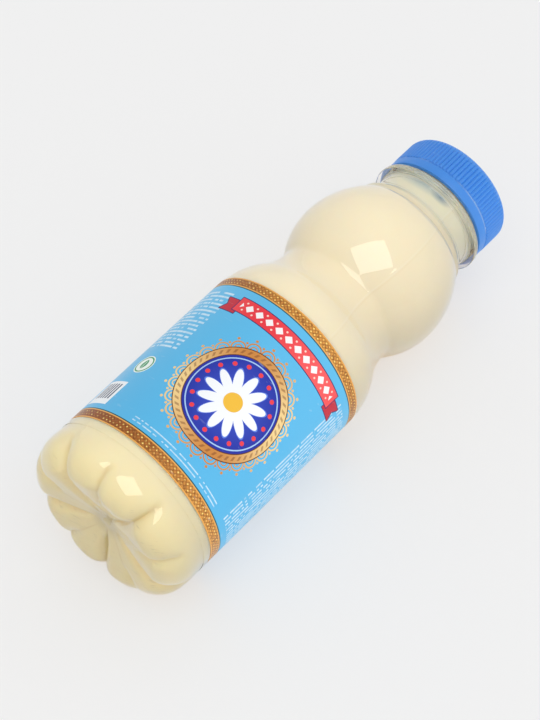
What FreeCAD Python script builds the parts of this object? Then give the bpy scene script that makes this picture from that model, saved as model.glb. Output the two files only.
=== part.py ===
import FreeCAD, Part
import math
import os

# Bottle of sweetened condensed milk, lying on its side.
# X runs along the bottle from its feet to its cap, Z is up, and the origin is
# the middle of the box that holds it, on the floor. Stations along the bottle
# are measured from the plane that its feet stand on. Angles about its axis are
# measured from straight up, towards -Y.

# ---- driving dimensions (mm, degrees) ----
BODY_RADIUS = 30.0         # over the label, and at the heel
SHOULDER_LINE = 15.0       # faint ring where the petals of the base start
RING_SINK = 0.1            # petals start this far below the label's radius
PETAL_BULGE = 0.4          # and swell by this much on the way to the heel
WALL = 0.6                 # blown wall of the bottle
BASE_WALL = 0.8            # thicker at the base

LABEL_START = 18.1         # lower edge of the label
LABEL_LENGTH = 67.8
LABEL_FILM = 0.15
LABEL_LIP = 0.4            # bare rim of the label's recess, at each end
SEAM_WIDTH = 7.0           # glued overlap of the label
SEAM_ANGLE = 242.0

SHOULDER_ARC = 22.0        # rounding above the label
WAIST_RADIUS = 22.6        # narrowest place, between shoulder and bulb
WAIST_SWEEP = 20.4         # hollow arc from the shoulder down to the waist
WAIST_FILLET = 3.6         # tighter hollow arc from the waist up to the bulb
BULB_RADIUS = 28.2         # widest place of the bulb
BULB_LOWER_ARC = 24.7      # side of the bulb towards the waist
BULB_UPPER_ARC = 30.5      # side of the bulb towards the neck
BULB_END_RADIUS = 21.5     # where the bulb meets the neck

NECK_LAND = 1.4            # narrow land at the root of the neck
NECK_STEP = 0.45           # step down from it
NECK_SWEEP = 5.4           # length of the hollow below the support ring
NECK_RADIUS = 18.6
NECK_WALL = 1.4
NECK_LENGTH = 10.4         # root of the neck to the support ring
RING_RADIUS = 21.1         # support ring
RING_THICKNESS = 1.7
RING_EDGE = 0.35           # its rounded edges
RING_ROOT = 0.8            # fillet between neck and support ring
FINISH_RADIUS = 17.6       # mouth under the cap
FINISH_LENGTH = 14.6
FINISH_WALL = 1.4
BEAD_HEIGHT = 1.2          # bead that the tamper band catches on
BEAD_WIDTH = 1.4
BEAD_GAP = 2.6             # from the support ring to the bead

PETALS = 5
GROOVE_ANGLE = 37.5        # one of the deep grooves between petals
HEEL_ARC = 9.0             # rounding from the side towards the feet
HEEL_TURN = 80.0           # how far it turns before the edge of the sole
SOLE_CURVE = 1.3           # sole falls towards the middle, slowly at first
DEEP_GROOVE = 2.8          # depth between two petals
DEEP_START = 13.2          # station where it begins to sink
DEEP_CREASE = 2.6          # how tightly it is pinched
SPLIT_GROOVE = 1.3         # depth of the groove that splits each petal
SPLIT_START = 10.5
SPLIT_CREASE = 3.0
GROOVE_FULL = 3.0          # station by which both are at full depth
RECESS_DEPTH = 4.5         # middle of the base above the feet
RECESS_RADIUS = 3.4
GATE_RADIUS = 1.4          # nub left by moulding
GATE_HEIGHT = 0.6

CAP_CLEARANCE = 0.2        # between the bead and the cap round it
CAP_WALL = 1.5             # from its bore to the tops of the ribs
CAP_RIBS = 90
RIB_DEPTH = 0.4
CAP_HEIGHT = 14.4
CAP_TOP = 1.4
CAP_ROUND = 2.6            # rounded edge of the top
BAND_WALL = 1.4
BAND_HEIGHT = 3.3
BAND_SPLIT = 0.4           # slit between the cap and its tamper band
BRIDGES = 12
BRIDGE_WIDTH = 0.9

FLAT_DEPTH = 0.25          # flattening of the side that the bottle lies on
AIR_REACH = 7.0            # air in the neck starts this far below the support ring
AIR_LEAN = 62.0            # lean of the milk surface there, from square to the axis
AIR_TURN = 10.0            # the bottle was rolled a little before the milk crept back

# ---- worked out from them ----
PANEL_RADIUS = BODY_RADIUS - LABEL_FILM
LABEL_END = LABEL_START + LABEL_LENGTH
AXIS_HEIGHT = BODY_RADIUS - FLAT_DEPTH
PETAL_RADIUS = BODY_RADIUS - RING_SINK
finish_bore = FINISH_RADIUS - FINISH_WALL
bead_radius = FINISH_RADIUS + BEAD_HEIGHT
cap_bore = bead_radius + CAP_CLEARANCE
cap_radius = cap_bore + CAP_WALL
band_radius = cap_bore + BAND_WALL


def leg(distance, height):
    return math.sqrt(distance ** 2 - height ** 2)


# Each arc meets the next one smoothly, so its centre follows from the last.
shoulder_centre = (LABEL_END + LABEL_LIP, PANEL_RADIUS - SHOULDER_ARC)
sweep_height = WAIST_RADIUS + WAIST_SWEEP
waist = shoulder_centre[0] + leg(SHOULDER_ARC + WAIST_SWEEP, sweep_height - shoulder_centre[1])
sweep_centre = (waist, sweep_height)
fillet_centre = (waist, WAIST_RADIUS + WAIST_FILLET)
bulb_lower_height = BULB_RADIUS - BULB_LOWER_ARC
bulb = waist + leg(BULB_LOWER_ARC + WAIST_FILLET, fillet_centre[1] - bulb_lower_height)
bulb_lower_centre = (bulb, bulb_lower_height)
bulb_upper_centre = (bulb, BULB_RADIUS - BULB_UPPER_ARC)
bulb_end = bulb + leg(BULB_UPPER_ARC, BULB_END_RADIUS - bulb_upper_centre[1])
ring_start = bulb_end + NECK_LENGTH
ring_end = ring_start + RING_THICKNESS
mouth = ring_end + FINISH_LENGTH
cap_end = mouth + CAP_TOP
cap_start = cap_end - CAP_HEIGHT
MIDDLE = cap_end / 2


def spot(station, radius, angle=0.0):
    """Point at a station, a distance from the axis and an angle about it."""
    turn = math.radians(angle)
    return FreeCAD.Vector(station - MIDDLE, -radius * math.sin(turn), AXIS_HEIGHT + radius * math.cos(turn))


def arc(centre, radius, start, end):
    """Arc about (station, radius) centre; 0 degrees points to the cap, 90 outwards."""
    ends = []
    for t in (start, (start + end) / 2, end):
        ends.append(spot(centre[0] + radius * math.cos(math.radians(t)),
                         centre[1] + radius * math.sin(math.radians(t))))
    return Part.Arc(*ends).toShape()


def heading(a, b):
    return math.degrees(math.atan2(b[1] - a[1], b[0] - a[0]))


def revolve(parts):
    """Turn an outline of corners (station, radius) and arcs into a solid round the axis."""
    edges, last = [], None
    for item in parts:
        start = spot(*item) if isinstance(item, tuple) else item.firstVertex(True).Point
        if last is not None and start.distanceToPoint(last) > 1e-6:
            edges.append(Part.makeLine(last, start))
        last = start
        if not isinstance(item, tuple):
            edges.append(item)
            last = item.lastVertex(True).Point
    edges.append(Part.makeLine(last, edges[0].firstVertex(True).Point))
    return Part.Face(Part.Wire(edges)).revolve(spot(0, 0), FreeCAD.Vector(1, 0, 0), 360)


def tube(start, end, outer, inner=0.0):
    shape = Part.makeCylinder(outer, end - start, spot(start, 0), FreeCAD.Vector(1, 0, 0))
    if inner:
        shape = shape.cut(Part.makeCylinder(inner, end - start, spot(start, 0), FreeCAD.Vector(1, 0, 0)))
    return shape


def body_arcs(inset):
    """Shoulder, waist and bulb, drawn this far inside the outer skin."""
    to_sweep = heading(shoulder_centre, sweep_centre)
    to_fillet = heading(bulb_lower_centre, fillet_centre)
    to_end = heading(bulb_upper_centre, (bulb_end, BULB_END_RADIUS))
    return [arc(shoulder_centre, SHOULDER_ARC - inset, 90, to_sweep),
            arc(sweep_centre, WAIST_SWEEP + inset, to_sweep - 180, -90),
            arc(fillet_centre, WAIST_FILLET + inset, -90, to_fillet - 180),
            arc(bulb_lower_centre, BULB_LOWER_ARC - inset, to_fillet, 90),
            arc(bulb_upper_centre, BULB_UPPER_ARC - inset, 90, to_end)]


def neck_arc(inset):
    """Hollow that leads from the land at the bulb down to the neck."""
    drop = BULB_END_RADIUS - NECK_STEP - NECK_RADIUS
    radius = (NECK_SWEEP ** 2 + drop ** 2) / (2 * drop)
    centre = (bulb_end + NECK_LAND + NECK_SWEEP, NECK_RADIUS + radius)
    start = heading(centre, (bulb_end + NECK_LAND, NECK_RADIUS + drop))
    return arc(centre, radius + inset, start, -90)


def outer_body():
    ring_low, ring_high = ring_start + RING_EDGE, ring_end - RING_EDGE
    ring_inside = RING_RADIUS - RING_EDGE
    bead = ring_end + BEAD_GAP
    return revolve(
        [(SHOULDER_LINE, 0), (SHOULDER_LINE, BODY_RADIUS), (LABEL_START - LABEL_LIP, BODY_RADIUS),
         (LABEL_START - LABEL_LIP, PANEL_RADIUS)]
        + body_arcs(0)
        + [(bulb_end + NECK_LAND, BULB_END_RADIUS), neck_arc(0),
           arc((ring_start - RING_ROOT, NECK_RADIUS + RING_ROOT), RING_ROOT, -90, 0),
           arc((ring_low, ring_inside), RING_EDGE, 180, 90),
           arc((ring_high, ring_inside), RING_EDGE, 90, 0),
           (ring_end, FINISH_RADIUS), (bead, FINISH_RADIUS), (bead, bead_radius),
           (bead + BEAD_WIDTH / 2, bead_radius), (bead + BEAD_WIDTH, FINISH_RADIUS),
           (mouth, FINISH_RADIUS), (mouth, 0)])


def inner_body():
    return revolve(
        [(SHOULDER_LINE, 0), (SHOULDER_LINE, PANEL_RADIUS - WALL)]
        + body_arcs(WALL)
        + [neck_arc(NECK_WALL), (ring_start, NECK_RADIUS - NECK_WALL), (ring_end, finish_bore),
           (mouth, finish_bore), (mouth, 0)])


def smooth(value):
    value = min(1.0, max(0.0, value))
    return value * value * (3 - 2 * value)


def base_outline():
    """Rows from the ring to the middle: station, radius, inward direction, and the
    depth there of the deep grooves and of the split grooves."""
    turn_end = math.radians(HEEL_TURN)
    heel_start = HEEL_ARC * math.sin(turn_end)
    widest = PETAL_RADIUS + PETAL_BULGE
    edge = widest - HEEL_ARC * (1 - math.cos(turn_end))
    rows = []
    for i in range(6):
        share = i / 6
        rows.append((SHOULDER_LINE + (heel_start - SHOULDER_LINE) * share,
                     PETAL_RADIUS + PETAL_BULGE * smooth(share * 1.2), (0, -1)))
    for i in range(12):
        turn = turn_end * i / 11
        rows.append((heel_start - HEEL_ARC * math.sin(turn), widest - HEEL_ARC * (1 - math.cos(turn)),
                     (math.sin(turn), -math.cos(turn))))
    for share in (0.035, 0.1, 0.2, 0.3, 0.4, 0.5, 0.6, 0.7, 0.8, 0.9, 1.0):
        rows.append((RECESS_DEPTH * share ** SOLE_CURVE, edge + (RECESS_RADIUS - edge) * share, (1, 0)))
    graded = []
    for station, radius, inward in rows:
        on_sole = radius < edge
        deep = 1 if on_sole else smooth((DEEP_START - station) / (DEEP_START - GROOVE_FULL))
        split = 1 if on_sole else smooth((SPLIT_START - station) / (SPLIT_START - GROOVE_FULL))
        out = (radius - RECESS_RADIUS) / (edge - RECESS_RADIUS)
        graded.append((station, radius, inward, DEEP_GROOVE * deep * smooth(out * 2.4),
                       SPLIT_GROOVE * split * smooth((out - 0.5) * 2.2)))
    return graded


def groove(angle, offset, crease):
    """1 at the bottom of the closest of the evenly spaced grooves, falling to 0 at the
    crest of the lobe beside it."""
    pitch = 360 / PETALS
    away = (angle - GROOVE_ANGLE - offset + pitch / 2) % pitch - pitch / 2
    return max(0.0, 1 - abs(away) * 4 / pitch) ** crease


def petal_base(inset):
    """Solid of the base below the ring, with its petals, drawn this far inside the skin."""
    steps = 30 * PETALS
    rows = []
    for station, radius, inward, deep, split in base_outline():
        row = []
        for j in range(steps):
            angle = 360 * j / steps
            sink = (deep * groove(angle, 0, DEEP_CREASE)
                    + split * groove(angle, 180 / PETALS, SPLIT_CREASE))
            row.append(spot(station + sink * inward[0], radius + sink * inward[1], angle))
        rows.append(row)
    if inset:
        last = len(rows) - 1
        moved = []
        for i, row in enumerate(rows):
            new = []
            for j, point in enumerate(row):
                along = rows[min(i + 1, last)][j] - rows[max(i - 1, 0)][j]
                around = row[(j + 1) % steps] - row[j - 1]
                inward = around.cross(along) if i < last else FreeCAD.Vector(1, 0, 0)
                if i == 0:
                    inward = spot(0, -1, 360 * j / steps) - spot(0, 0)
                new.append(point + inward.normalize() * inset)
            moved.append(new)
        rows = moved
    surface = Part.BSplineSurface()
    count = len(rows)
    surface.buildFromPolesMultsKnots(
        rows, [4] + [1] * (count - 4) + [4], [1] * (steps + 1),
        list(range(count - 2)), list(range(steps + 1)), False, True, 3, 3)
    skin = surface.toShape()
    rims = sorted((e for e in skin.Edges if e.BoundBox.XLength < 1e-6), key=lambda e: e.BoundBox.XMin)
    lids = [Part.Face(Part.Wire(rim)) for rim in rims]
    shell = Part.Shell([skin] + lids)
    shell.sewShape()
    return Part.Solid(shell)


def flatten(shape, height):
    """Cut away what would lie below a height, where the bottle rests."""
    return shape.cut(Part.makeBox(2 * cap_end, 4 * BODY_RADIUS, BODY_RADIUS,
                                  FreeCAD.Vector(-cap_end, -2 * BODY_RADIUS, height - BODY_RADIUS)))


def make_bottle(cavity):
    skin = outer_body().fuse(petal_base(0))
    gate = tube(RECESS_DEPTH - GATE_HEIGHT, RECESS_DEPTH + BASE_WALL / 2, GATE_RADIUS)
    skin = flatten(skin.fuse(gate), 0)
    panel = tube(LABEL_START - LABEL_LIP, LABEL_END + LABEL_LIP, BODY_RADIUS + 1, PANEL_RADIUS - WALL / 2)
    skin = skin.cut(panel.cut(flatten(tube(0, cap_end, PANEL_RADIUS), LABEL_FILM)))
    return skin.cut(cavity)


def make_milk(cavity):
    """Milk fills the bottle up to a leaning surface in the neck."""
    edge = spot(ring_start - AIR_REACH, NECK_RADIUS - NECK_WALL)
    air = Part.makeBox(cap_end, 4 * BODY_RADIUS, cap_end, edge - FreeCAD.Vector(0, 2 * BODY_RADIUS, cap_end / 2))
    air.rotate(edge, FreeCAD.Vector(0, 1, 0), -AIR_LEAN)
    air.rotate(spot(0, 0), FreeCAD.Vector(1, 0, 0), AIR_TURN)
    return cavity.cut(air)


def make_label():
    """Film round the panel, with its glued overlap standing a film higher."""
    sleeve = flatten(tube(LABEL_START, LABEL_END, BODY_RADIUS), 0)
    sleeve = sleeve.cut(flatten(tube(0, cap_end, PANEL_RADIUS), LABEL_FILM))
    overlap = tube(LABEL_START, LABEL_END, BODY_RADIUS + LABEL_FILM, BODY_RADIUS - LABEL_FILM / 2)
    strip = Part.makeBox(cap_end, SEAM_WIDTH, 2 * BODY_RADIUS,
                         FreeCAD.Vector(-MIDDLE, -SEAM_WIDTH / 2, AXIS_HEIGHT))
    strip.rotate(spot(0, 0), FreeCAD.Vector(1, 0, 0), SEAM_ANGLE)
    return sleeve.fuse(overlap.common(strip)).removeSplitter()


def make_cap():
    """Ribbed cap, and its tamper band held on by small bridges."""
    band_end = cap_start + BAND_HEIGHT
    skirt_start = band_end + BAND_SPLIT
    pitch = 360 / CAP_RIBS
    corners = []
    for i in range(CAP_RIBS):
        for share, radius in ((0.08, 0), (0.30, 1), (0.70, 1), (0.92, 0)):
            corners.append(spot(skirt_start, cap_radius - RIB_DEPTH * (1 - radius), pitch * (i + share)))
    ribbed = Part.Face(Part.makePolygon(corners + corners[:1])).extrude(
        FreeCAD.Vector(cap_end - skirt_start, 0, 0))
    round_centre = (cap_end - CAP_ROUND, cap_radius - CAP_ROUND)
    ribbed = ribbed.common(revolve([(skirt_start, 0), (skirt_start, cap_radius - RIB_DEPTH / 2),
                                    (skirt_start + RIB_DEPTH, cap_radius + RIB_DEPTH / 2),
                                    (round_centre[0], cap_radius),
                                    arc(round_centre, CAP_ROUND, 90, 0), (cap_end, 0)]))
    cap = ribbed.cut(tube(skirt_start, mouth, cap_bore))
    cap = cap.fuse(tube(cap_start, band_end, band_radius, cap_bore))
    bridge_radius = cap_bore + 0.6 * (band_radius - cap_bore)
    hoop = tube(band_end - BAND_SPLIT, skirt_start + BAND_SPLIT, bridge_radius, cap_bore)
    for i in range(BRIDGES):
        tab = Part.makeBox(cap_end, BRIDGE_WIDTH, 2 * cap_radius,
                           FreeCAD.Vector(-MIDDLE, -BRIDGE_WIDTH / 2, AXIS_HEIGHT))
        tab.rotate(spot(0, 0), FreeCAD.Vector(1, 0, 0), 360 * (i + 0.5) / BRIDGES)
        cap = cap.fuse(hoop.common(tab))
    return cap.removeSplitter()


os.makedirs("parts", exist_ok=True)
cavity = inner_body().fuse(petal_base(BASE_WALL))
for name, shape in (("bottle", make_bottle(cavity)), ("milk", make_milk(cavity)),
                    ("label", make_label()), ("cap", make_cap())):
    solid = shape.Solids[0] if len(shape.Solids) == 1 else shape
    solid.exportStep(os.path.join("parts", name + ".step"))
    print(name, "solids", len(shape.Solids), "valid", shape.isValid(), "ml", round(shape.Volume / 1000, 2))
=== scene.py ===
import bpy
import bmesh
import math
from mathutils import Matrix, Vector


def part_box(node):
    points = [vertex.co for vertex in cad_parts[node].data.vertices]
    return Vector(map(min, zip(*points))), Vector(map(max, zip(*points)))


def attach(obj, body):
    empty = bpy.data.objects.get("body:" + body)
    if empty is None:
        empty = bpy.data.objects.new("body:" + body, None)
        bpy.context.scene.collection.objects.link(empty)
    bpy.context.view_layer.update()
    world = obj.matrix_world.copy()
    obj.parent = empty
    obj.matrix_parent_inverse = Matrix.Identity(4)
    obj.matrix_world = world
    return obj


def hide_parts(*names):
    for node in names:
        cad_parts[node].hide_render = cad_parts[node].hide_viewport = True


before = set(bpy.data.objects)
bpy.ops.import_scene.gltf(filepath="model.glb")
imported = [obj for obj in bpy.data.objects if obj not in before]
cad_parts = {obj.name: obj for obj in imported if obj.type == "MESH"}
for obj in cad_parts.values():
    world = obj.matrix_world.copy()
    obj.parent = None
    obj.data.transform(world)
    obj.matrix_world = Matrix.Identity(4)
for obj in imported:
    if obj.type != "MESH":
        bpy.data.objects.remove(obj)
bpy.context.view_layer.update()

print("frame loaded:", len(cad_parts), "parts")

# where the bottle lies
# Sizes here are in mm. Stations run along the bottle from the plane of its feet,
# angles go round its axis from straight up towards -Y.
capLow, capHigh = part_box("cap")
place = {
    "middle": capHigh.x * 1000,                       # station of the frame's origin
    "axis": (capLow.z + capHigh.z) * 500,             # height of the bottle's axis
    "capEnd": capHigh.x * 2000,
}


def spot(station, radius, angle):
    turn = math.radians(angle)
    return Vector((station - place["middle"], -radius * math.sin(turn),
                   place["axis"] + radius * math.cos(turn))) / 1000


# small helpers for meshes
def leg(distance, height):
    return math.sqrt(distance ** 2 - height ** 2)


def heading(a, b):
    return math.degrees(math.atan2(b[1] - a[1], b[0] - a[0]))


def smooth(value):
    value = min(1.0, max(0.0, value))
    return value * value * (3 - 2 * value)


def arcPoints(centre, radius, start, end, count):
    points = []
    for i in range(count + 1):
        turn = math.radians(start + (end - start) * i / count)
        points.append((centre[0] + radius * math.cos(turn), centre[1] + radius * math.sin(turn)))
    return points


def linePoints(a, b, count):
    return [(a[0] + (b[0] - a[0]) * i / count, a[1] + (b[1] - a[1]) * i / count)
            for i in range(count + 1)]


def joinRuns(*runs):
    # one outline from several, without doubled points
    outline = []
    for run in runs:
        for point in run:
            if not outline or math.dist(point, outline[-1]) > 1e-4:
                outline.append(point)
    return outline


def meshFromRows(name, rows, capStart=True, capEnd=True, uvRows=None):
    # rows of points, each going once round the axis, joined into one closed skin
    verts, faces = [], []
    columns = len(rows[0])
    for row in rows:
        verts.extend(row)
    for i in range(len(rows) - 1):
        for j in range(columns):
            k = (j + 1) % columns
            low, high = i * columns, (i + 1) * columns
            faces.append((low + j, low + k, high + k, high + j))
    for isWanted, start, flip in ((capStart, 0, True), (capEnd, (len(rows) - 1) * columns, False)):
        if isWanted:
            hub = len(verts)
            ring = rows[start // columns]
            verts.append(sum(ring, Vector()) / columns)
            for j in range(columns):
                pair = (start + j, start + (j + 1) % columns)
                faces.append((hub, pair[1], pair[0]) if flip else (hub, pair[0], pair[1]))
    mesh = bpy.data.meshes.new(name)
    mesh.from_pydata([tuple(v) for v in verts], [], faces)
    return mesh


def finishMesh(mesh, sharpAngle=32):
    # one outward side, smooth shading, and sharp edges only where the form turns hard
    work = bmesh.new()
    work.from_mesh(mesh)
    bmesh.ops.recalc_face_normals(work, faces=work.faces)
    for face in work.faces:
        face.smooth = True
    for edge in work.edges:
        if len(edge.link_faces) == 2:
            edge.smooth = edge.calc_face_angle(0) < math.radians(sharpAngle)
    work.to_mesh(mesh)
    work.free()
    return mesh


def addPiece(name, mesh, material, slotName, *nodes):
    piece = bpy.data.objects.new(name, mesh)
    bpy.context.scene.collection.objects.link(piece)
    piece.data.materials.append(material)
    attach(piece, "root")
    if nodes:
        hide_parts(*nodes)
    return piece


# small helpers for materials
def linear(red, green, blue):
    # screen colour, 0 to 255, as a shader colour
    values = []
    for c in (red, green, blue):
        c /= 255
        values.append(c / 12.92 if c <= 0.04045 else ((c + 0.055) / 1.055) ** 2.4)
    return (*values, 1.0)


class Value:
    # a number socket that can be added, multiplied and compared
    def __init__(self, nodes, socket):
        self.nodes, self.socket = nodes, socket

    def run(self, operation, *others, clamp=False):
        node = self.nodes.new("ShaderNodeMath")
        node.operation, node.use_clamp = operation, clamp
        for target, source in zip(node.inputs, (self, *others)):
            if isinstance(source, Value):
                self.nodes.id_data.links.new(source.socket, target)
            else:
                target.default_value = source
        return Value(self.nodes, node.outputs[0])

    def __add__(self, other):
        return self.run("ADD", other)

    def __sub__(self, other):
        return self.run("SUBTRACT", other)

    def __mul__(self, other):
        return self.run("MULTIPLY", other)

    def __truediv__(self, other):
        return self.run("DIVIDE", other)

    def size(self):
        return self.run("ABSOLUTE")

    def both(self, other):
        return self.run("MINIMUM", other)

    def either(self, other):
        return self.run("MAXIMUM", other)

    def below(self, limit, soft=0.06):
        # 1 under the limit, 0 over it, with a soft printed edge
        return ((self - limit) * (-1 / soft)).run("ADD", 0.5, clamp=True)

    def above(self, limit, soft=0.06):
        return ((self - limit) * (1 / soft)).run("ADD", 0.5, clamp=True)

    def inside(self, low, high, soft=0.06):
        return self.above(low, soft).both(self.below(high, soft))

    def wave(self):
        # sine between 0 and 1
        return self.run("SINE").run("MULTIPLY_ADD", 0.5, 0.5)

    def repeat(self, pitch):
        # signed distance from the middle of each cell, in a row of cells that starts at 0
        return (self / pitch).run("FRACT") * pitch - pitch / 2


def length2(a, b):
    return (a * a + b * b).run("SQRT")


def mixColours(nodes, mask, under, over):
    node = nodes.new("ShaderNodeMix")
    node.data_type = "RGBA"
    for name, source in (("Factor", mask), ("A", under), ("B", over)):
        socket = node.inputs[name]
        if isinstance(source, Value):
            nodes.id_data.links.new(source.socket, socket)
        elif isinstance(source, (tuple, float, int)):
            socket.default_value = source
        else:
            nodes.id_data.links.new(source, socket)
    return node.outputs["Result"]


def newMaterial(name):
    material = bpy.data.materials.new(name)
    material.use_nodes = True
    nodes = material.node_tree.nodes
    shader = nodes["Principled BSDF"]
    return material, nodes, material.node_tree.links, shader


def addNoise(nodes, vector, scale, detail=2.0):
    node = nodes.new("ShaderNodeTexNoise")
    node.inputs["Scale"].default_value = scale
    node.inputs["Detail"].default_value = detail
    nodes.id_data.links.new(vector, node.inputs["Vector"])
    return node.outputs["Fac"]


def addBump(nodes, shader, height, strength, distance):
    bump = nodes.new("ShaderNodeBump")
    bump.inputs["Strength"].default_value = strength
    bump.inputs["Distance"].default_value = distance
    nodes.id_data.links.new(height, bump.inputs["Height"])
    nodes.id_data.links.new(bump.outputs["Normal"], shader.inputs["Normal"])


def letLampsThrough(nodes, shader, colour):
    # for shadow rays the surface is clear and of this colour
    links = nodes.id_data.links
    clear = nodes.new("ShaderNodeBsdfTransparent")
    clear.inputs["Color"].default_value = colour
    ray = nodes.new("ShaderNodeLightPath")
    blend = nodes.new("ShaderNodeMixShader")
    links.new(ray.outputs["Is Shadow Ray"], blend.inputs["Fac"])
    links.new(shader.outputs["BSDF"], blend.inputs[1])
    links.new(clear.outputs["BSDF"], blend.inputs[2])
    links.new(blend.outputs["Shader"], nodes["Material Output"].inputs["Surface"])


def newGroup(name, inputs, outputs):
    group = bpy.data.node_groups.new(name, "ShaderNodeTree")
    for label, kind, value in inputs:
        socket = group.interface.new_socket(name=label, in_out="INPUT", socket_type=kind)
        socket.default_value = value
    for label, kind in outputs:
        group.interface.new_socket(name=label, in_out="OUTPUT", socket_type=kind)
    start, end = group.nodes.new("NodeGroupInput"), group.nodes.new("NodeGroupOutput")
    return group, start, end


def useGroup(nodes, group, **values):
    node = nodes.new("ShaderNodeGroup")
    node.node_tree = group
    for label, value in values.items():
        node.inputs[label].default_value = value
    return node


def bottlePlace(nodes, coordinates):
    # station in mm, angle in degrees and distance from the axis in mm, of a shaded point
    parts = nodes.new("ShaderNodeSeparateXYZ")
    nodes.id_data.links.new(coordinates.outputs["Object"], parts.inputs[0])
    x, y, z = (Value(nodes, parts.outputs[axis]) * 1000 for axis in "XYZ")
    up = z - place["axis"]
    angle = (y * -1).run("ARCTAN2", up) * math.degrees(1)
    return x + place["middle"], angle, length2(y, up)


def makeHandlingGroup():
    # fine rubbed marks and a soft unevenness, for every surface that hands touch
    group, start, end = newGroup(
        "handling",
        [("Scale", "NodeSocketFloat", 60.0), ("Amount", "NodeSocketFloat", 0.5),
         ("Roughness", "NodeSocketFloat", 0.2), ("Spread", "NodeSocketFloat", 0.08)],
        [("Roughness", "NodeSocketFloat"), ("Marks", "NodeSocketFloat"),
         ("Height", "NodeSocketFloat")])
    nodes, links = group.nodes, group.links
    place3d = nodes.new("ShaderNodeTexCoord")
    spread = nodes.new("ShaderNodeTexNoise")
    spread.inputs["Detail"].default_value = 4
    links.new(place3d.outputs["Object"], spread.inputs["Vector"])
    links.new(start.outputs["Scale"], spread.inputs["Scale"])
    stretch = nodes.new("ShaderNodeMapping")
    stretch.inputs["Rotation"].default_value = (0.3, 0.5, 0.9)
    stretch.inputs["Scale"].default_value = (900, 60, 420)
    links.new(place3d.outputs["Object"], stretch.inputs["Vector"])
    fine = Value(nodes, addNoise(nodes, stretch.outputs["Vector"], 1.0)).above(0.70, 0.05)
    broad = Value(nodes, spread.outputs["Fac"])
    amount = Value(nodes, start.outputs["Amount"])
    marks = (fine * amount).run("MULTIPLY", broad.above(0.5, 0.3))
    wander = (broad - 0.5) * Value(nodes, start.outputs["Spread"])
    rough = Value(nodes, start.outputs["Roughness"]) + wander
    links.new((rough + marks * 0.25).socket, end.inputs["Roughness"])
    links.new(marks.socket, end.inputs["Marks"])
    links.new((broad - marks * 0.3).socket, end.inputs["Height"])
    return group


handling = makeHandlingGroup()
print("helpers and shared node group ready")

# bottle
bottle = {
    "bodyRadius": 30.0, "shoulderLine": 15.0, "ringSink": 0.1, "wall": 0.6, "baseWall": 0.8,
    "labelStart": 18.1, "labelLength": 67.8, "labelFilm": 0.15, "labelLip": 0.4,
    "shoulderArc": 22.0, "waistRadius": 22.6, "waistSweep": 20.4, "waistFillet": 3.6,
    "bulbRadius": 28.2, "bulbLowerArc": 24.7, "bulbUpperArc": 30.5, "bulbEndRadius": 21.5,
    "neckLand": 1.4, "neckStep": 0.45, "neckSweep": 5.4, "neckRadius": 18.6, "neckWall": 1.4,
    "neckLength": 10.4, "ringRadius": 21.1, "ringThickness": 1.7, "ringEdge": 0.35, "ringRoot": 0.8,
    "finishRadius": 17.6, "finishLength": 14.6, "finishBore": 16.2,
    "beadRadius": 18.8, "beadWidth": 1.4, "beadGap": 2.6,
    "columns": 240, "partingAngle": 36.0, "partingFrom": 12.0, "partingHeight": 0.12,
    "partingWidth": 0.3,
}
petals = {
    "count": 5, "bulge": 0.35, "grooveAngle": 37.5,
    "heelArc": 9.0, "heelTurn": 80.0, "soleCurve": 1.3,
    "deepGroove": 3.0, "deepStart": 13.2, "deepCrease": 2.8,
    "splitGroove": 1.6, "splitStart": 10.5, "splitCrease": 3.6, "grooveFull": 3.0,
    "recessDepth": 4.5, "recessRadius": 3.4, "gateRadius": 1.4, "gateHeight": 0.6,
}
panelRadius = bottle["bodyRadius"] - bottle["labelFilm"]
labelEnd = bottle["labelStart"] + bottle["labelLength"]
shoulderCentre = (labelEnd + bottle["labelLip"], panelRadius - bottle["shoulderArc"])
sweepHeight = bottle["waistRadius"] + bottle["waistSweep"]
waist = shoulderCentre[0] + leg(bottle["shoulderArc"] + bottle["waistSweep"],
                                sweepHeight - shoulderCentre[1])
sweepCentre = (waist, sweepHeight)
filletCentre = (waist, bottle["waistRadius"] + bottle["waistFillet"])
bulbLowerHeight = bottle["bulbRadius"] - bottle["bulbLowerArc"]
bulb = waist + leg(bottle["bulbLowerArc"] + bottle["waistFillet"],
                   filletCentre[1] - bulbLowerHeight)
bulbLowerCentre = (bulb, bulbLowerHeight)
bulbUpperCentre = (bulb, bottle["bulbRadius"] - bottle["bulbUpperArc"])
bulbEnd = bulb + leg(bottle["bulbUpperArc"], bottle["bulbEndRadius"] - bulbUpperCentre[1])
ringStart = bulbEnd + bottle["neckLength"]
ringEnd = ringStart + bottle["ringThickness"]
mouth = ringEnd + bottle["finishLength"]


def bodyRun(inset):
    # shoulder, waist and bulb, this far inside the outer skin
    toSweep = heading(shoulderCentre, sweepCentre)
    toFillet = heading(bulbLowerCentre, filletCentre)
    toEnd = heading(bulbUpperCentre, (bulbEnd, bottle["bulbEndRadius"]))
    return joinRuns(
        arcPoints(shoulderCentre, bottle["shoulderArc"] - inset, 90, toSweep, 18),
        arcPoints(sweepCentre, bottle["waistSweep"] + inset, toSweep - 180, -90, 14),
        arcPoints(filletCentre, bottle["waistFillet"] + inset, -90, toFillet - 180, 8),
        arcPoints(bulbLowerCentre, bottle["bulbLowerArc"] - inset, toFillet, 90, 16),
        arcPoints(bulbUpperCentre, bottle["bulbUpperArc"] - inset, 90, toEnd, 20))


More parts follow.
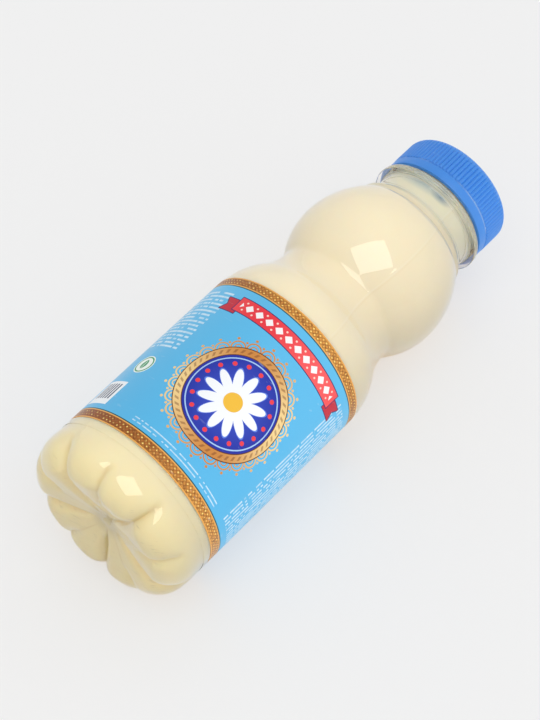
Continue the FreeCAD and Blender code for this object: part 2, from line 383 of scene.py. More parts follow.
def neckRun(inset):
    drop = bottle["bulbEndRadius"] - bottle["neckStep"] - bottle["neckRadius"]
    radius = (bottle["neckSweep"] ** 2 + drop ** 2) / (2 * drop)
    centre = (bulbEnd + bottle["neckLand"] + bottle["neckSweep"], bottle["neckRadius"] + radius)
    start = heading(centre, (bulbEnd + bottle["neckLand"], bottle["neckRadius"] + drop))
    if start > 0:
        start -= 360
    return arcPoints(centre, radius + inset, start, -90, 10)


def outerRun():
    b = bottle
    low, high = ringStart + b["ringEdge"], ringEnd - b["ringEdge"]
    ringInside = b["ringRadius"] - b["ringEdge"]
    bead = ringEnd + b["beadGap"]
    lip = b["labelStart"] - b["labelLip"]
    return joinRuns(
        linePoints((b["shoulderLine"], b["bodyRadius"]), (lip - 0.06, b["bodyRadius"]), 2),
        linePoints((lip + 0.06, panelRadius), (shoulderCentre[0], panelRadius), 6),
        bodyRun(0),
        [(bulbEnd + b["neckLand"] * 0.3, b["bulbEndRadius"]),
         (bulbEnd + b["neckLand"] * 0.9, b["bulbEndRadius"])],
        neckRun(0),
        arcPoints((ringStart - b["ringRoot"], b["neckRadius"] + b["ringRoot"]), b["ringRoot"],
                  -90, 0, 6),
        arcPoints((low, ringInside), b["ringEdge"], 180, 90, 5),
        arcPoints((high, ringInside), b["ringEdge"], 90, 0, 5),
        [(ringEnd, b["finishRadius"]), (bead, b["finishRadius"]), (bead + 0.1, b["beadRadius"]),
         (bead + b["beadWidth"] / 2, b["beadRadius"]), (bead + b["beadWidth"], b["finishRadius"]),
         (mouth - 0.2, b["finishRadius"]), (mouth, b["finishRadius"] - 0.2)])


def innerRun(inset):
    # the bore from the mouth back down to the line above the petals
    b = bottle
    return joinRuns(
        [(b["shoulderLine"], panelRadius - b["wall"] + inset),
         (shoulderCentre[0], panelRadius - b["wall"] + inset)],
        bodyRun(b["wall"] - inset), neckRun(b["neckWall"] - inset),
        [(ringStart, b["neckRadius"] - b["neckWall"] + inset), (ringEnd, b["finishBore"] + inset),
         (mouth, b["finishBore"] + inset)])


def baseOutline():
    # from the line above the petals to the middle: station, radius, inward direction,
    # depth of the deep grooves and of the grooves that split the petals
    p = petals
    start = bottle["bodyRadius"] - bottle["ringSink"]
    widest = start + p["bulge"]
    turnEnd = math.radians(p["heelTurn"])
    heelStart = p["heelArc"] * math.sin(turnEnd)
    edge = widest - p["heelArc"] * (1 - math.cos(turnEnd))
    rows = []
    for i in range(10):
        share = i / 10
        rows.append((bottle["shoulderLine"] + (heelStart - bottle["shoulderLine"]) * share,
                     start + p["bulge"] * smooth(share * 1.2), (0, -1)))
    for i in range(24):
        turn = turnEnd * i / 23
        rows.append((heelStart - p["heelArc"] * math.sin(turn),
                     widest - p["heelArc"] * (1 - math.cos(turn)),
                     (math.sin(turn), -math.cos(turn))))
    for i in range(1, 31):
        share = i / 30
        rows.append((p["recessDepth"] * share ** p["soleCurve"],
                     edge + (p["recessRadius"] - edge) * share, (1, 0)))
    deepRun = p["deepStart"] - p["grooveFull"]
    splitRun = p["splitStart"] - p["grooveFull"]
    graded = []
    for station, radius, inward in rows:
        isSole = radius < edge
        deep = 1 if isSole else smooth((p["deepStart"] - station) / deepRun)
        split = 1 if isSole else smooth((p["splitStart"] - station) / splitRun)
        out = (radius - p["recessRadius"]) / (edge - p["recessRadius"])
        graded.append((station, radius, inward, p["deepGroove"] * deep * smooth(out * 2.4),
                       p["splitGroove"] * split * smooth((out - 0.5) * 2.2)))
    return graded


def grooveShare(angle, offset, crease):
    # 1 at the bottom of the nearest groove, falling to 0 at the crest of the lobe beside it
    pitch = 360 / petals["count"]
    away = (angle - petals["grooveAngle"] - offset + pitch / 2) % pitch - pitch / 2
    return max(0, 1 - abs(away) * 4 / pitch) ** crease


def smoothRows(rows, rounds):
    # even out the creases along the rows' direction, ends kept
    for _ in range(rounds):
        rows = [rows[0]] + [
            [(rows[i - 1][j] + rows[i][j] * 2 + rows[i + 1][j]) / 4 for j in range(len(rows[i]))]
            for i in range(1, len(rows) - 1)] + [rows[-1]]
    return rows


def baseRows(inset):
    columns = bottle["columns"]
    rows = []
    for station, radius, inward, deep, split in baseOutline():
        row = []
        for j in range(columns):
            angle = 360 * j / columns
            sink = (deep * grooveShare(angle, 0, petals["deepCrease"])
                    + split * grooveShare(angle, 180 / petals["count"], petals["splitCrease"]))
            row.append(spot(station + sink * inward[0], radius + sink * inward[1], angle))
        rows.append(row)
    rows = smoothRows(rows, 1)
    if inset:
        moved, last = [], len(rows) - 1
        for i, row in enumerate(rows):
            new = []
            for j, point in enumerate(row):
                along = rows[min(i + 1, last)][j] - rows[max(i - 1, 0)][j]
                around = row[(j + 1) % columns] - row[j - 1]
                normal = around.cross(along) if i < last else Vector((1, 0, 0))
                if i == 0:
                    normal = spot(0, -1, 360 * j / columns) - spot(0, 0, 0)
                new.append(point + normal.normalized() * inset / 1000)
            moved.append(new)
        rows = moved
    return rows


def latheRows(outline):
    columns = bottle["columns"]
    return [[spot(station, radius, 360 * j / columns) for j in range(columns)]
            for station, radius in outline]


def raiseParting(rows):
    # the two lines where the halves of the mould met
    columns = bottle["columns"]
    for row in rows:
        for j, point in enumerate(row):
            angle = 360 * j / columns
            away = (angle - bottle["partingAngle"] + 90) % 180 - 90
            out = point - Vector((point.x, 0, place["axis"] / 1000))
            reach = out.length * 1000
            beside = math.radians(away) * reach / bottle["partingWidth"]
            lift = bottle["partingHeight"] * math.exp(-beside ** 2)
            if reach > bottle["partingFrom"]:
                row[j] = point + out.normalized() * lift / 1000


def restOnFloor(rows, height):
    for row in rows:
        for point in row:
            point.z = max(point.z, height / 1000)


def makeBottleMesh():
    outer = baseRows(0)[::-1]
    root, gate = petals["recessDepth"], petals["gateRadius"]
    tip = root - petals["gateHeight"]
    hub = latheRows([(tip, 0.5), (tip + 0.05, gate - 0.3), (tip + 0.3, gate),
                     (root, gate + 0.2), (root, gate + 1.2)])
    body = latheRows(outerRun())
    raiseParting(body)
    inside = latheRows(innerRun(0))
    rows = hub + outer + body + inside[::-1] + baseRows(bottle["baseWall"])
    restOnFloor(rows, 0.0)
    return finishMesh(meshFromRows("bottleSkin", rows))


def makeClearPlastic():
    material, nodes, links, shader = newMaterial("clearPlastic")
    shader.inputs["Base Color"].default_value = linear(254, 255, 255)
    shader.inputs["IOR"].default_value = 1.57
    shader.inputs["Coat Weight"].default_value = 0.7
    shader.inputs["Coat Roughness"].default_value = 0.01
    shader.inputs["Coat IOR"].default_value = 1.57
    shader.inputs["Transmission Weight"].default_value = 1.0
    marks = useGroup(nodes, handling, Scale=45.0, Amount=0.08, Roughness=0.01, Spread=0.01)
    links.new(marks.outputs["Roughness"], shader.inputs["Roughness"])
    addBump(nodes, shader, marks.outputs["Height"], 0.05, 0.0002)
    # lamps shine straight through the thin wall
    letLampsThrough(nodes, shader, linear(253, 253, 253))
    return material


addPiece("bottleSkin", makeBottleMesh(), makeClearPlastic(), "clear_plastic", "bottle")
print("bottle made")

# milk
milk = {
    "intoWall": 0.15, "rowStep": 1.5, "restHeight": 0.4, "neckTone": 148.5,
    "pocketStation": 156.2, "pocketAngle": 4.0, "pocketLong": 3.0, "pocketWide": 32.0,
}


def makeMilkMesh():
    # fills the bottle and reaches just into its wall
    rows = baseRows(bottle["baseWall"] - milk["intoWall"])[::-1]
    outline = innerRun(milk["intoWall"])
    for a, b in zip(outline, outline[1:]):
        count = max(1, round(math.dist(a, b) / milk["rowStep"]))
        rows += latheRows(linePoints(a, b, count)[:-1])
    rows += latheRows([(mouth, bottle["finishBore"] + milk["intoWall"])])
    restOnFloor(rows, milk["restHeight"])
    return finishMesh(meshFromRows("milkBody", rows), 60)


def makeMilkMaterial():
    material, nodes, links, shader = newMaterial("condensedMilk")
    place3d = nodes.new("ShaderNodeTexCoord")
    station, angle, away = bottlePlace(nodes, place3d)
    cloud = Value(nodes, addNoise(nodes, place3d.outputs["Object"], 26, 3))
    tint = cloud.above(0.5, 0.5)
    bulbTone = mixColours(nodes, tint, linear(243, 232, 204), linear(241, 229, 198))
    baseTone = mixColours(nodes, tint, linear(240, 230, 195), linear(238, 227, 187))
    # yellower towards the base, cooler in the neck
    colour = mixColours(nodes, station.above(50, 90), baseTone, bulbTone)
    colour = mixColours(nodes, station.below(9, 12) * 0.5, colour, linear(245, 228, 168))
    neck = station.above(milk["neckTone"], 3)
    colour = mixColours(nodes, neck * 0.45, colour, linear(222, 226, 206))
    # bubble of air under the cap, seen as a grey-blue shadow through a film of milk
    along = (station - milk["pocketStation"]) / milk["pocketLong"]
    around = (angle - milk["pocketAngle"]) / milk["pocketWide"]
    veil = length2(along, around + 0.3).below(0.55, 1.0)
    colour = mixColours(nodes, veil * 0.65, colour, linear(140, 168, 178))
    core = length2(along + 0.05, around * 1.8 - 0.85).below(0.4, 0.8)
    colour = mixColours(nodes, core * 0.85, colour, linear(88, 128, 150))
    # painted highlight along the mould's parting lines, as paler threads, with a thin painted shade
    # beside them
    beside = (angle - bottle["partingAngle"] + 90).repeat(180) * away / math.degrees(1)
    clearOfBase = station.above(16, 2).both(away.above(12, 3))
    faint = clearOfBase * (cloud.above(0.5, 0.3) * 0.6 + 0.4)
    # painted shade beside each parting line
    partingShade = (beside - 0.6).size().below(0.35, 0.5) * faint
    colour = mixColours(nodes, partingShade * 0.25, colour, linear(226, 206, 158))
    # painted highlight on each parting line
    partingGlint = beside.size().below(0.25, 0.4) * faint
    colour = mixColours(nodes, partingGlint * 0.3, colour, linear(253, 248, 236))
    # painted shade: deeper, darker cream down in the creases of the base
    pitch = 360 / petals["count"]
    fromGroove = angle - petals["grooveAngle"]
    deepLine = (fromGroove + pitch / 2).repeat(pitch).size().below(1.5, 4)
    splitLine = fromGroove.repeat(pitch).size().below(1.0, 3.5)
    creaseShade = deepLine.both(station.below(9, 5)).either(splitLine.both(station.below(7, 4)))
    creaseShade = creaseShade.both(away.above(8, 5))
    # painted shade in the creases of the base
    colour = mixColours(nodes, creaseShade * 0.55, colour, linear(222, 198, 134))
    # greyer round the gate, partly the thick cloudy plastic there and partly painted shade in the
    # recess at the middle of the base; and scuffs on the soles
    gate = away.below(5.5, 4).both(station.below(9, 3))
    # painted shade in the base's recess, together with the gate's cloudy plastic
    colour = mixColours(nodes, gate * 0.45, colour, linear(190, 178, 140))
    rub = nodes.new("ShaderNodeMapping")
    rub.inputs["Rotation"].default_value = (0.5, 0, 0)
    rub.inputs["Scale"].default_value = (300, 260, 2600)
    links.new(place3d.outputs["Object"], rub.inputs["Vector"])
    streaks = Value(nodes, addNoise(nodes, rub.outputs["Vector"], 1.0, 3)).above(0.66, 0.08)
    worn = streaks.both(station.below(3.4, 1)).both(away.above(6, 2)).both(cloud.above(0.5, 0.1))
    colour = mixColours(nodes, worn * 0.3, colour, linear(150, 138, 108))
    links.new(colour, shader.inputs["Base Color"])
    links.new((cloud * 0.1 + 0.35).socket, shader.inputs["Roughness"])
    shader.inputs["Specular IOR Level"].default_value = 0.05
    shader.inputs["Subsurface Weight"].default_value = 0.6
    shader.inputs["Subsurface Radius"].default_value = (1.0, 0.8, 0.55)
    shader.inputs["Subsurface Scale"].default_value = 0.0025
    # some light passes through, so its shadow is pale and warm
    letLampsThrough(nodes, shader, linear(246, 212, 132))
    return material


addPiece("milkBody", makeMilkMesh(), makeMilkMaterial(), "milk", "milk")
print("milk made")

# label
label = {
    "seamWidth": 7.0, "seamAngle": 242.0, "frontAngle": 24.0, "lower": 3.9, "upper": 3.5,
    "medallion": 30.5, "rim": 18.2, "rimInside": 15.8, "laceCells": 24, "laceRadius": 2.3,
    "sash": 58.0, "sashLong": 23.0, "dotCircle": 12.6, "dots": 18, "eye": 3.1, "daisyPetals": 12,
    "box": (-37.0, 11.5), "leaf": (-33.0, 25.0),
}


def makeLabelMesh():
    # film round the panel, from one side of the seam to the other, with the overlap on top
    radius = bottle["bodyRadius"]
    film = bottle["labelFilm"]
    first, last = bottle["labelStart"], labelEnd
    rows = 60
    half = math.degrees(label["seamWidth"] / 2 / radius)
    columns = 360
    work = bmesh.new()
    uvLayer = work.loops.layers.uv.new("print")
    grids = []
    for side in (0, 1):
        grid = []
        for j in range(columns + 1):
            angle = label["seamAngle"] - 360 + 360 * j / columns
            lift = film * (smooth((angle - (label["seamAngle"] - half)) * 4) +
                           smooth(((label["seamAngle"] - 360 + half) - angle) * 4))
            column = []
            for i in range(rows + 1):
                station = first + (last - first) * i / rows
                away = radius + lift if side == 0 else radius - film + 0.01
                point = spot(station, away, angle)
                point.z = max(point.z, 0.0 if side == 0 else film / 1000)
                column.append(work.verts.new(point))
            grid.append(column)
        grids.append(grid)

    def addFace(corners):
        face = work.faces.new([v for v, _, _ in corners])
        for loop, (_, j, i) in zip(face.loops, corners):
            loop[uvLayer].uv = (j / columns, i / rows * labelShare)
    labelShare = (last - first) / (2 * math.pi * radius)
    outer, inner = grids
    for j in range(columns):
        for i in range(rows):
            addFace([(outer[j][i], j, i), (outer[j + 1][i], j + 1, i),
                     (outer[j + 1][i + 1], j + 1, i + 1), (outer[j][i + 1], j, i + 1)])
            addFace([(inner[j][i], j, i), (inner[j][i + 1], j, i + 1),
                     (inner[j + 1][i + 1], j + 1, i + 1), (inner[j + 1][i], j + 1, i)])
        for i in (0, rows):
            addFace([(outer[j][i], j, i), (inner[j][i], j, i),
                     (inner[j + 1][i], j + 1, i), (outer[j + 1][i], j + 1, i)])
    bmesh.ops.remove_doubles(work, verts=work.verts, dist=1e-7)
    mesh = bpy.data.meshes.new("labelFilm")
    work.to_mesh(mesh)
    work.free()
    return finishMesh(mesh, 40)


def makeLabelMaterial():
    material, nodes, links, shader = newMaterial("printedFilm")
    radius = bottle["bodyRadius"]
    around = 2 * math.pi * radius
    uvMap = nodes.new("ShaderNodeUVMap")
    uvMap.uv_map = "print"
    parts = nodes.new("ShaderNodeSeparateXYZ")
    links.new(uvMap.outputs["UV"], parts.inputs[0])
    front = (label["frontAngle"] - (label["seamAngle"] - 360)) / 360
    # x in mm round the bottle from the front, y in mm up from the lower edge
    x = (Value(nodes, parts.outputs["X"]) - front) * around
    y = Value(nodes, parts.outputs["Y"]) * around
    colour = mixColours(nodes, y.above(40, 60), linear(88, 183, 231), linear(95, 188, 234))

    # small print beside the picture, as plain pale bars
    def printBars(across, along, pitch, word):
        cell = nodes.new("ShaderNodeCombineXYZ")
        links.new((along / word).run("FLOOR").socket, cell.inputs[0])
        links.new((across / pitch).run("FLOOR").socket, cell.inputs[1])
        noise = nodes.new("ShaderNodeTexWhiteNoise")
        noise.noise_dimensions = "2D"
        links.new(cell.outputs[0], noise.inputs["Vector"])
        inked = Value(nodes, noise.outputs["Value"])
        bar = across.repeat(pitch).size().below(pitch * 0.22, 0.3).both(inked.above(0.2, 0.02))
        return bar * (inked * 0.4 + 0.35)

    rightBlock = printBars(x, y, 1.45, 0.9).both(x.inside(26, 45)).both(y.inside(7, 61))
    leftBlock = printBars(y, x, 1.75, 0.8).both(x.inside(-52, -27)).both(y.inside(33, 61))
    footLine = printBars(y + 0.1, x, 1.6, 0.7).both(x.inside(-18, 20)).both(y.inside(5.5, 7.1))
    bars = rightBlock.either(leftBlock).either(footLine)
    colour = mixColours(nodes, bars, colour, linear(232, 246, 252))

    # white box with plain stripes, and a green leaf on a white spot
    boxX, boxY = x - label["box"][0], y - label["box"][1]
    box = boxX.size().below(5.6).both(boxY.size().below(5.2))
    colour = mixColours(nodes, box, colour, linear(240, 244, 248))
    stripes = boxX.repeat(1.5).size().below(0.4).both(boxX.size().below(4.5))
    stripes = stripes.both((boxY - 0.6).size().below(3.4))
    colour = mixColours(nodes, stripes, colour, linear(62, 74, 100))
    leafX, leafY = x - label["leaf"][0], y - label["leaf"][1]
    spotFar = length2(leafX, leafY)
    colour = mixColours(nodes, spotFar.below(3.9), colour, linear(238, 246, 240))
    colour = mixColours(nodes, spotFar.inside(3.0, 3.5), colour, linear(48, 150, 96))
    leaf = length2(leafX - 1.3, leafY).either(length2(leafX + 1.3, leafY)).below(2.5)
    leaf = leaf.both(leafX.size().above(0.14, 0.1).either(leafY.above(1.4)))
    colour = mixColours(nodes, leaf, colour, linear(48, 150, 96))

    # medallion: gold lace and rim round a royal blue field with a daisy
    cx, cy = x, y - label["medallion"]
    rho = length2(cx, cy)
    phi = cy.run("ARCTAN2", cx)
    glint = (phi * 2.0 + 0.8).wave()
    gold = mixColours(nodes, glint, linear(204, 134, 62), linear(244, 212, 146))
    laceU = phi.repeat(2 * math.pi / label["laceCells"]) * (label["rim"] + 1.2)
    laceV = rho - label["rim"]
    laceFar = length2(laceU, laceV)
    scallop = (laceFar - label["laceRadius"]).size().below(0.26, 0.12).both(laceV.above(0))
    inner = (laceFar - label["laceRadius"] * 0.5).size().below(0.2, 0.12).both(laceV.above(0))
    dots = length2(laceU, laceV - label["laceRadius"] - 1.1).below(0.45, 0.12)
    between = length2(laceU.size() - 2.54, laceV - 2.0).below(0.4, 0.12)
    lace = scallop.either(inner).either(dots).either(between)
    colour = mixColours(nodes, lace, colour, gold)
    colour = mixColours(nodes, rho.below(label["rim"] + 0.3), colour, linear(92, 46, 22))
    colour = mixColours(nodes, rho.below(label["rim"]), colour, gold)
    rope = (phi * 48.0 + rho * 2.2).run("SINE").above(0.3, 0.6)
    rope = rope.both(rho.inside(16.4, 17.6, 0.2))
    colour = mixColours(nodes, rope * 0.55, colour, linear(120, 62, 24))
    colour = mixColours(nodes, rho.below(label["rimInside"]), colour, linear(92, 46, 22))
    field = mixColours(nodes, rho / 15.5, linear(62, 88, 206), linear(24, 42, 160))
    colour = mixColours(nodes, rho.below(label["rimInside"] - 0.3), colour, field)
    colour = mixColours(nodes, rho.inside(14.3, 14.7), colour, linear(170, 205, 245))
    dotAlong = phi.repeat(2 * math.pi / label["dots"]) * label["dotCircle"]
    redDots = length2(dotAlong, rho - label["dotCircle"]).below(0.75)
    colour = mixColours(nodes, redDots, colour, linear(236, 62, 74))
    petal = (phi * (label["daisyPetals"] / 2)).run("COSINE").size()
    daisy = rho - petal * 5.4
    clearOfEye = rho.above(label["eye"])
    colour = mixColours(nodes, daisy.below(6.1).both(clearOfEye), colour, linear(96, 130, 226))
    colour = mixColours(nodes, daisy.below(5.6).both(clearOfEye), colour, linear(246, 249, 252))
    colour = mixColours(nodes, rho.below(label["eye"]), colour, linear(242, 190, 60))

    # plain red sash above the medallion, with folded ends and a row of white lozenges
    sy = y - label["sash"]
    beyond = x.size() - label["sashLong"]
    drop = (sy + 1.4).size()
    notch = beyond - drop * 0.6
    tail = drop.below(2.6).both(beyond.inside(-1.5, 4.6)).both(notch.below(3.2))
    tailEdge = drop.below(2.9).both(beyond.inside(-1.8, 4.9)).both(notch.below(3.6))
    colour = mixColours(nodes, tailEdge, colour, linear(54, 34, 96))
    colour = mixColours(nodes, tail, colour, linear(196, 38, 58))
    sashEdge = sy.size().below(3.1).both(beyond.below(0.3))
    colour = mixColours(nodes, sashEdge, colour, linear(54, 34, 96))
    red = mixColours(nodes, (x * 0.12).wave(), linear(232, 54, 66), linear(248, 92, 94))
    colour = mixColours(nodes, sy.size().below(2.8).both(beyond.below(0)), colour, red)
    lozenge = x.repeat(4.0).size() * 0.95 + sy.size()
    onSash = x.size().below(label["sashLong"] - 1.5)
    colour = mixColours(nodes, lozenge.below(1.5).both(onSash), colour, linear(250, 246, 246))
    pips = length2((x + 2.0).repeat(4.0), sy.size() - 1.5).below(0.35)
    colour = mixColours(nodes, pips.both(onSash), colour, linear(255, 214, 200))

    # gold bands at both edges, in rows of small glittering lozenges
    wide = bottle["labelLength"]
    for low, high in ((0, label["lower"]), (wide - label["upper"], wide)):
        centre, half = (low + high) / 2, (high - low) / 2
        by = y - centre
        band = y.above(low) if low else y.below(high)
        glow = (x * 0.055 + (1.2 if low else 0.2)).wave()
        base = mixColours(nodes, glow, linear(154, 82, 24), linear(218, 150, 66))
        net = x.repeat(1.5).size() / 0.75 + by.repeat(1.3).size() / 0.65
        base = mixColours(nodes, net.inside(0.84, 1.14, 0.2) * 0.7, base, linear(100, 46, 10))
        cell = nodes.new("ShaderNodeTexVoronoi")
        cell.inputs["Scale"].default_value = 330
        links.new(uvMap.outputs["UV"], cell.inputs["Vector"])
        speck = nodes.new("ShaderNodeSeparateColor")
        links.new(cell.outputs["Color"], speck.inputs[0])
        lively = Value(nodes, speck.outputs[0])
        core = net.below(0.45, 0.4).both(by.size().below(half - 0.5, 0.1))
        sparkle = (lively * 1.5 - 0.2).run("MINIMUM", 1).run("MAXIMUM", 0.12)
        base = mixColours(nodes, core * sparkle, base, linear(255, 232, 132))
        base = mixColours(nodes, lively.below(0.2, 0.1) * 0.5, base, linear(112, 54, 12))
        base = mixColours(nodes, by.size().above(half - 0.4, 0.1), base, linear(236, 172, 84))
        colour = mixColours(nodes, band, colour, base)
        line = y.inside(low - 0.36, low + 0.02) if low else y.inside(high - 0.02, high + 0.36)
        colour = mixColours(nodes, line, colour, linear(14, 84, 92))

    marks = useGroup(nodes, handling, Scale=70.0, Amount=0.5, Roughness=0.3, Spread=0.1)
    rubbed = Value(nodes, marks.outputs["Marks"]) * 0.35
    colour = mixColours(nodes, rubbed, colour, linear(225, 240, 248))
    links.new(colour, shader.inputs["Base Color"])
    links.new(marks.outputs["Roughness"], shader.inputs["Roughness"])
    addBump(nodes, shader, marks.outputs["Height"], 0.15, 0.0002)
    shader.inputs["Specular IOR Level"].default_value = 0.3
    return material


addPiece("labelFilm", makeLabelMesh(), makeLabelMaterial(), "label", "label")
print("label made")

# cap
cap = {
    "radius": 20.5, "ribs": 90, "perRib": 6, "ribDepth": 0.4,
    "height": 14.4, "top": 1.4, "bore": 19.0, "round": 2.6,
    "bandRadius": 20.4, "bandHeight": 3.3, "split": 0.4,
    "bridges": 12, "bridgeWidth": 0.9, "webRadius": 20.1,
}


def makeCapMesh():
    c = cap
    end = place["capEnd"]
    start = end - c["height"]
    bandEnd = start + c["bandHeight"]
    skirt = bandEnd + c["split"]
    columns = c["ribs"] * c["perRib"]
    ribShape = (0.0, 0.5, 1.0, 1.0, 1.0, 0.5)

    def ring(station, radius, ribbed):
        row = []
        for j in range(columns):
            sink = c["ribDepth"] * (1 - ribShape[j % c["perRib"]]) * ribbed
            row.append(spot(station, radius - sink, 360 * j / columns))
        return row

    r = c["radius"]
    centre = (end - c["round"], r - c["round"])
    top = end - c["top"]
    rows = [ring(top, 10.0, 0), ring(top, c["bore"], 0), ring(skirt, c["bore"], 0),
            ring(skirt, r - 0.3, 0.4), ring(skirt + 0.15, r - 0.1, 0.8), ring(skirt + 0.5, r, 1)]
    for i in range(1, 6):
        rows.append(ring(skirt + 0.5 + (centre[0] - skirt - 0.5) * i / 5, r, 1))
    for i, (station, radius) in enumerate(arcPoints(centre, c["round"], 90, 0, 8)):
        rows.append(ring(station, radius, 1 - smooth(i / 5)))
    for radius in (r - c["round"] - 1.2, 14.0, 9.0, 4.0):
        rows.append(ring(end, radius, 0))
    mesh = meshFromRows("screwCap", rows)
    work = bmesh.new()
    work.from_mesh(mesh)

    def addHoop(name, outline):
        hoop = [[spot(station, radius, 360 * j / 240) for j in range(240)]
                for station, radius in outline]
        extra = meshFromRows(name, hoop, False, False)
        work.from_mesh(extra)
        bpy.data.meshes.remove(extra)

    out = c["bandRadius"]
    addHoop("band", [
        (start, c["bore"]), (start, out - 0.35), (start + 0.1, out - 0.1), (start + 0.35, out),
        (bandEnd - 0.2, out), (bandEnd, out - 0.2), (bandEnd, c["bore"]), (start, c["bore"])])
    bmesh.ops.remove_doubles(work, verts=work.verts, dist=1e-6)
    # a web closes the slit behind the bridges
    low, high = bandEnd - 0.05, skirt + 0.05
    addHoop("web", [(low, c["bore"] + 0.1), (low, c["webRadius"]), (high, c["webRadius"]),
                    (high, c["bore"] + 0.1), (low, c["bore"] + 0.1)])
    bridgeOut = c["bandRadius"] - 0.12
    for i in range(c["bridges"]):
        angle = 360 * (i + 0.5) / c["bridges"]
        half = math.degrees(c["bridgeWidth"] / 2 / bridgeOut)
        box = []
        for station in (bandEnd - 0.1, skirt + 0.1):
            for radius in (c["bore"] + 0.05, bridgeOut):
                for side in (-half, half):
                    box.append(work.verts.new(spot(station, radius, angle + side)))
        for face in ((0, 1, 3, 2), (4, 6, 7, 5), (0, 2, 6, 4),
                     (1, 5, 7, 3), (2, 3, 7, 6), (0, 4, 5, 1)):
            work.faces.new([box[k] for k in face])
    work.to_mesh(mesh)
    work.free()
    return finishMesh(mesh, 40)


def makeCapMaterial():
    material, nodes, links, shader = newMaterial("blueCap")
    marks = useGroup(nodes, handling, Scale=55.0, Amount=0.6, Roughness=0.38, Spread=0.12)
    rubbed = Value(nodes, marks.outputs["Marks"]) * 0.3
    colour = mixColours(nodes, rubbed, linear(62, 138, 224), linear(140, 185, 240))
    # plastic whitened by strain, here and there along the slit
    place3d = nodes.new("ShaderNodeTexCoord")
    station, angle, away = bottlePlace(nodes, place3d)
    strain = Value(nodes, addNoise(nodes, place3d.outputs["Object"], 90)).above(0.5, 0.12)
    slit = place["capEnd"] - cap["height"] + cap["bandHeight"] + cap["split"] / 2
    pale = (station - slit).size().below(0.24, 0.1).both(strain)
    colour = mixColours(nodes, pale * 0.45, colour, linear(190, 216, 246))
    links.new(colour, shader.inputs["Base Color"])
    links.new(marks.outputs["Roughness"], shader.inputs["Roughness"])
    shader.inputs["Subsurface Weight"].default_value = 0.15
    shader.inputs["Subsurface Radius"].default_value = (0.4, 0.7, 1.0)
    shader.inputs["Subsurface Scale"].default_value = 0.001
    addBump(nodes, shader, addNoise(nodes, place3d.outputs["Object"], 1800), 0.15, 0.0001)
    return material


addPiece("screwCap", makeCapMesh(), makeCapMaterial(), "cap", "cap")
print("cap made")

# studio
studio = {
    "camera": (-0.3083, -0.2627, 0.6317), "aim": (-0.00606, 0.00153, 0.02975), "lens": 114.7,
    "floor": 0.93, "floorReach": 6.0, "backdrop": 0.863, "flat": 0.64, "sheen": 0.12,
    "horizon": 1.4, "zenith": 0.36, "towardsCap": 0.25, "towardsFront": 0.17,
    "softboxWay": (-0.192, -0.201, 0.960), "softboxFar": 2.5, "softboxTurn": 12.0,
    "softboxSize": (2.3, 1.8), "softboxPower": 21.0,
}


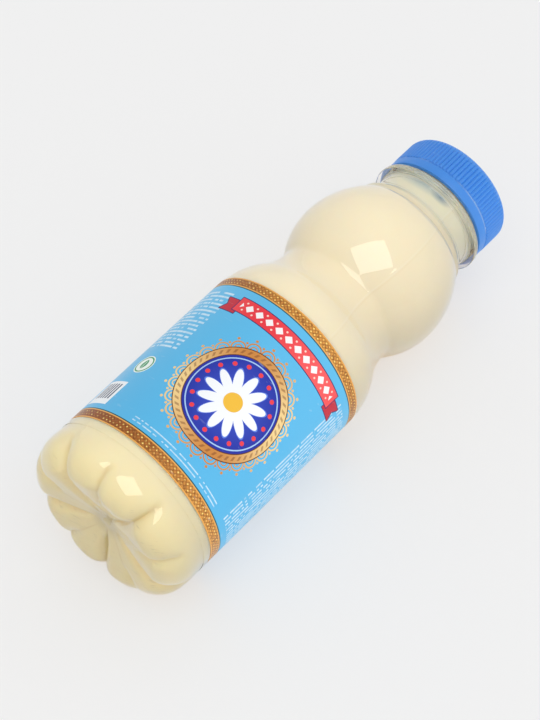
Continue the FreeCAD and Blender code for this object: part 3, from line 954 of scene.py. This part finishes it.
def makeStudio():
    scene = bpy.context.scene
    mesh = bpy.data.meshes.new("floor")
    reach = studio["floorReach"]
    corners = [(-reach, -reach, 0), (reach, -reach, 0), (reach, reach, 0), (-reach, reach, 0)]
    mesh.from_pydata(corners, [], [(0, 1, 2, 3)])
    floor = bpy.data.objects.new("floor", mesh)
    scene.collection.objects.link(floor)
    material, nodes, links, shader = newMaterial("paleFloor")
    shader.inputs["Base Color"].default_value = (studio["floor"],) * 3 + (1.0,)
    shader.inputs["Roughness"].default_value = 0.9
    shader.inputs["Specular IOR Level"].default_value = 0.1
    # the camera sees it partly as plain backdrop, which softens the shadow
    plain = nodes.new("ShaderNodeEmission")
    plain.inputs["Color"].default_value = (studio["backdrop"],) * 3 + (1.0,)
    plain.inputs["Strength"].default_value = 1.0
    ray = nodes.new("ShaderNodeLightPath")
    blend = nodes.new("ShaderNodeMixShader")
    seen = Value(nodes, ray.outputs["Is Camera Ray"]) * studio["flat"]
    links.new(seen.socket, blend.inputs["Fac"])
    # a low sheen mirrors the bottle's colours close to it
    sheen = nodes.new("ShaderNodeBsdfGlossy")
    sheen.inputs["Color"].default_value = (1, 1, 1, 1)
    sheen.inputs["Roughness"].default_value = 0.4
    top = nodes.new("ShaderNodeMixShader")
    top.inputs["Fac"].default_value = studio["sheen"]
    links.new(shader.outputs["BSDF"], top.inputs[1])
    links.new(sheen.outputs["BSDF"], top.inputs[2])
    links.new(top.outputs["Shader"], blend.inputs[1])
    links.new(plain.outputs["Emission"], blend.inputs[2])
    links.new(blend.outputs["Shader"], nodes["Material Output"].inputs["Surface"])
    mesh.materials.append(material)

    world = bpy.data.worlds.new("studio")
    world.use_nodes = True
    scene.world = world
    nodes, links = world.node_tree.nodes, world.node_tree.links
    background = nodes["Background"]
    ray = nodes.new("ShaderNodeLightPath")
    seen = Value(nodes, ray.outputs["Is Camera Ray"])
    for kind in ("Is Glossy Ray", "Is Transmission Ray"):
        seen = seen.either(Value(nodes, ray.outputs[kind]))
    # brighter near the horizon, in front and on the cap's side, as in a light tent
    around = nodes.new("ShaderNodeTexCoord")
    parts = nodes.new("ShaderNodeSeparateXYZ")
    links.new(around.outputs["Generated"], parts.inputs[0])
    height = Value(nodes, parts.outputs["Z"]).run("MAXIMUM", 0)
    tent = height * (studio["zenith"] - studio["horizon"]) + studio["horizon"]
    toCap = Value(nodes, parts.outputs["X"]) * studio["towardsCap"]
    toFront = Value(nodes, parts.outputs["Y"]) * studio["towardsFront"]
    tent = tent * (toCap - toFront + 1)
    strength = tent + seen * (tent * -1 + studio["backdrop"])
    background.inputs["Color"].default_value = (1, 1, 1, 1)
    links.new(strength.socket, background.inputs["Strength"])

    lamp = bpy.data.lights.new("softbox", "AREA")
    lamp.shape = "RECTANGLE"
    lamp.size, lamp.size_y = studio["softboxSize"]
    lamp.energy = studio["softboxPower"]
    lampObject = bpy.data.objects.new("softbox", lamp)
    scene.collection.objects.link(lampObject)
    way = Vector(studio["softboxWay"]).normalized()
    lampObject.location = way * studio["softboxFar"]
    turn = way.to_track_quat("Z", "Y")
    lampObject.rotation_euler = turn.to_euler()
    lampObject.rotation_euler.rotate_axis("Z", math.radians(studio["softboxTurn"]))

    eye = bpy.data.cameras.new("camera")
    eye.lens = studio["lens"]
    eye.sensor_width = 36
    eye.clip_start = 0.01
    camera = bpy.data.objects.new("camera", eye)
    scene.collection.objects.link(camera)
    camera.location = studio["camera"]
    look = Vector(studio["aim"]) - camera.location
    camera.rotation_euler = look.to_track_quat("-Z", "Y").to_euler()
    scene.camera = camera
    scene.view_settings.view_transform = "Standard"


makeStudio()
print("studio made")
